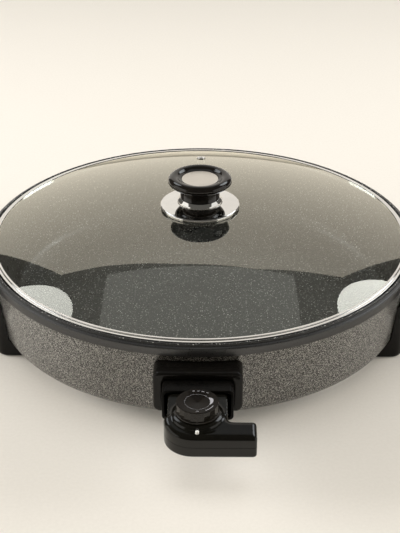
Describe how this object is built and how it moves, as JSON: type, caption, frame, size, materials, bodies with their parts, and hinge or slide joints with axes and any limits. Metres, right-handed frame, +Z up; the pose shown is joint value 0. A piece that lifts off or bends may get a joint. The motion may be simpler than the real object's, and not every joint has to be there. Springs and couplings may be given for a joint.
{
  "type": "round electric skillet",
  "caption": "Round electric skillet with a domed glass lift-off lid, speckled non-stick pan, side handles that form feet, and a plug-in temperature control.",
  "frame": {"origin": "centre of the whole skillet's footprint, at table height; the pan's axis is 40 mm behind it, at y = +0.04", "axes": "+X to the right hand of a person facing the control, +Y away from that person, +Z up; the control and its dial are at -Y"},
  "size_m": [0.524, 0.5, 0.15],
  "materials": {
    "non_stick_aluminium": "black non-stick coating with fine pale specks",
    "hammertone_steel": "grey-brown hammertone paint, semi-gloss",
    "element_sheath": "dull oxidised steel sheath",
    "zinc_steel": "zinc plated, satin",
    "brass_strip": "plain",
    "bakelite": "dark brown-black moulded phenolic, semi-gloss",
    "steatite": "unglazed pressed ceramic",
    "foot_rubber": "matte",
    "lid_glass": "clear toughened glass",
    "chrome": "polished",
    "brushed_disc": "finely brushed, bare",
    "knob_plastic": "dark glossy moulded phenolic",
    "control_plastic": "black glossy moulding",
    "dial_plastic": "smoky brown, polished, numerals in white",
    "lamp_lens": "white"
  },
  "bodies": {
    "base": {"pan": "non_stick_aluminium", "outer_casing": "hammertone_steel", "heating_element": "element_sheath", "element_clip_1": "zinc_steel", "element_clip_2": "zinc_steel", "element_clip_3": "zinc_steel", "centre_washer": "zinc_steel", "centre_nut": "zinc_steel", "socket_housing": "bakelite", "socket_sleeve": "bakelite", "pin_holder": "steatite", "earth_pin": "zinc_steel", "probe_sleeve": "zinc_steel", "lead_strip_left": "brass_strip", "lead_strip_right": "brass_strip", "element_pin_left": "zinc_steel", "element_pin_right": "zinc_steel", "socket_screw_left": "zinc_steel", "socket_screw_right": "zinc_steel", "handle_left": "bakelite", "handle_right": "bakelite", "handle_screw_1": "zinc_steel", "handle_screw_2": "zinc_steel", "handle_screw_3": "zinc_steel", "handle_screw_4": "zinc_steel", "foot_pad_1": "foot_rubber", "foot_pad_2": "foot_rubber", "foot_pad_3": "foot_rubber", "foot_pad_4": "foot_rubber"},
    "lid": {"lid_glass": "lid_glass", "lid_band": "chrome", "vent_grommet": "chrome", "knob_flange": "chrome", "knob_collar": "chrome", "lid_knob": "knob_plastic", "knob_insert": "brushed_disc", "lid_washer": "foot_rubber", "knob_screw": "zinc_steel"},
    "control": {"control_upper_shell": "control_plastic", "control_lower_shell": "control_plastic", "control_screw_1": "zinc_steel", "control_screw_2": "zinc_steel", "probe": "zinc_steel", "contact_left": "brass_strip", "contact_right": "brass_strip", "earth_contact": "brass_strip", "thermostat_frame": "zinc_steel", "bimetal_blade": "brass_strip", "index_lens": "lamp_lens", "indicator_lamp": "lamp_lens", "cord_grommet": "foot_rubber", "cord_clamp": "zinc_steel"},
    "dial": {"dial_skirt": "dial_plastic", "dial_knob": "dial_plastic", "dial_shaft": "zinc_steel"}
  },
  "joints": [
    {"name": "lid_lift", "type": "slide", "parent": "base", "child": "lid", "axis": [0, 0, 1], "range_m": [0, 0.12]},
    {"name": "control_pull", "type": "slide", "parent": "base", "child": "control", "axis": [0, -1, 0], "range_m": [0, 0.09]},
    {"name": "dial_turn", "type": "hinge", "parent": "control", "child": "dial", "pos_m": [0, -0.222, 0.0623], "axis": [0, 0, -1], "range_deg": [0, 280]}
  ]
}
